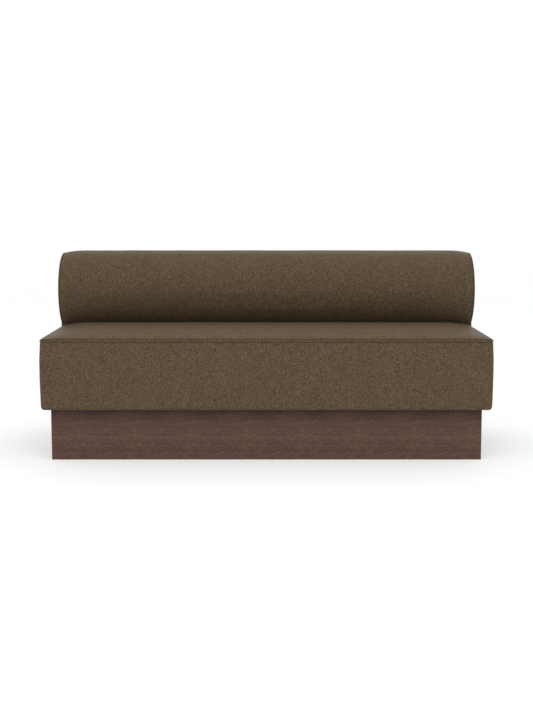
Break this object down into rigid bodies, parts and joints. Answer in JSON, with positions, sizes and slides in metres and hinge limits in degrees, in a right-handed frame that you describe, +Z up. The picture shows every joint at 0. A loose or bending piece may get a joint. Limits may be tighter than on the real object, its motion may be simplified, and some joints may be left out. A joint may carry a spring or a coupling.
{
  "type": "dining sofa",
  "caption": "Armless dining sofa: a crowned box seat, a round bolster back with piped ends and a recessed veneered plinth on levelling glides.",
  "frame": {"origin": "on the floor, at the middle of the sofa's length and depth", "axes": "+X along the length, towards the right end as seen from the front; +Y towards the rear; +Z up"},
  "size_m": [1.666, 0.714, 0.755],
  "materials": {
    "cover_fabric": "mottled wool weave in taupe and olive brown",
    "piping_fabric": "the cover's wool weave sewn round a cord",
    "lining": "black non-woven lining",
    "stained_veneer": "brown stained veneer with a matt lacquer",
    "plywood": "raw plywood",
    "softwood": "raw softwood",
    "foam": "open-cell foam",
    "webbing": "woven elastic webbing",
    "felt": "needled felt",
    "zinc_steel": "zinc plated",
    "glide_plastic": "moulded nylon"
  },
  "bodies": {
    "sofa": {"back_base_board": "plywood", "back_base_cloth": "lining", "back_bolt_washers": "zinc_steel", "back_bolts": "zinc_steel", "back_bottom_rail": "softwood", "back_cover_rear": "cover_fabric", "back_cover_wrap": "cover_fabric", "back_end_cover_left": "cover_fabric", "back_end_cover_right": "cover_fabric", "back_end_padding_left": "foam", "back_end_padding_right": "foam", "back_front_board": "plywood", "back_mounting_board": "plywood", "back_piping_left": "piping_fabric", "back_piping_right": "piping_fabric", "back_rear_batten": "softwood", "back_rear_board": "plywood", "back_rear_foam": "foam", "back_ribs": "plywood", "back_roll_board": "plywood", "back_roll_foam": "foam", "back_tee_nuts": "zinc_steel", "back_top_batten": "softwood", "back_upright_foam": "foam", "glide_tee_nuts": "zinc_steel", "plinth_battens": "softwood", "plinth_corner_blocks": "softwood", "plinth_cross_rails": "plywood", "plinth_front": "stained_veneer", "plinth_left": "stained_veneer", "plinth_rear": "stained_veneer", "plinth_right": "stained_veneer", "plinth_screws": "zinc_steel", "seat_base_board": "plywood", "seat_base_cloth": "lining", "seat_cover_boxing": "cover_fabric", "seat_cover_rear": "lining", "seat_cover_top": "cover_fabric", "seat_cross_rails": "softwood", "seat_felt": "felt", "seat_foam": "foam", "seat_front_rail": "softwood", "seat_glue_blocks": "softwood", "seat_left_rail": "softwood", "seat_padding_front": "foam", "seat_padding_left": "foam", "seat_padding_right": "foam", "seat_piping": "piping_fabric", "seat_rear_rail": "softwood", "seat_right_rail": "softwood", "seat_webbing": "webbing"},
    "pad_front_left": {"glide_pad_front_left": "glide_plastic"},
    "stem_front_left": {"glide_stem_front_left": "zinc_steel"},
    "pad_front_right": {"glide_pad_front_right": "glide_plastic"},
    "stem_front_right": {"glide_stem_front_right": "zinc_steel"},
    "pad_rear_left": {"glide_pad_rear_left": "glide_plastic"},
    "stem_rear_left": {"glide_stem_rear_left": "zinc_steel"},
    "pad_rear_right": {"glide_pad_rear_right": "glide_plastic"},
    "stem_rear_right": {"glide_stem_rear_right": "zinc_steel"}
  },
  "joints": [
    {"name": "glide_front_left_height", "type": "slide", "parent": "sofa", "child": "pad_front_left", "axis": [0, 0, -1], "range_m": [0, 0.01]},
    {"name": "glide_front_left_turn", "type": "hinge", "parent": "pad_front_left", "child": "stem_front_left", "pos_m": [-0.7565, -0.28051, 0.01], "axis": [0, 0, -1], "range_deg": [0, 2880]},
    {"name": "glide_front_right_height", "type": "slide", "parent": "sofa", "child": "pad_front_right", "axis": [0, 0, -1], "range_m": [0, 0.01]},
    {"name": "glide_front_right_turn", "type": "hinge", "parent": "pad_front_right", "child": "stem_front_right", "pos_m": [0.7565, -0.28051, 0.01], "axis": [0, 0, -1], "range_deg": [0, 2880]},
    {"name": "glide_rear_left_height", "type": "slide", "parent": "sofa", "child": "pad_rear_left", "axis": [0, 0, -1], "range_m": [0, 0.01]},
    {"name": "glide_rear_left_turn", "type": "hinge", "parent": "pad_rear_left", "child": "stem_rear_left", "pos_m": [-0.7565, 0.28051, 0.01], "axis": [0, 0, -1], "range_deg": [0, 2880]},
    {"name": "glide_rear_right_height", "type": "slide", "parent": "sofa", "child": "pad_rear_right", "axis": [0, 0, -1], "range_m": [0, 0.01]},
    {"name": "glide_rear_right_turn", "type": "hinge", "parent": "pad_rear_right", "child": "stem_rear_right", "pos_m": [0.7565, 0.28051, 0.01], "axis": [0, 0, -1], "range_deg": [0, 2880]}
  ],
  "couplings": [
    {"joint": "glide_front_left_turn", "follows": "glide_front_left_height", "rad_per_m": 5026.5},
    {"joint": "glide_front_right_turn", "follows": "glide_front_right_height", "rad_per_m": 5026.5},
    {"joint": "glide_rear_left_turn", "follows": "glide_rear_left_height", "rad_per_m": 5026.5},
    {"joint": "glide_rear_right_turn", "follows": "glide_rear_right_height", "rad_per_m": 5026.5}
  ]
}
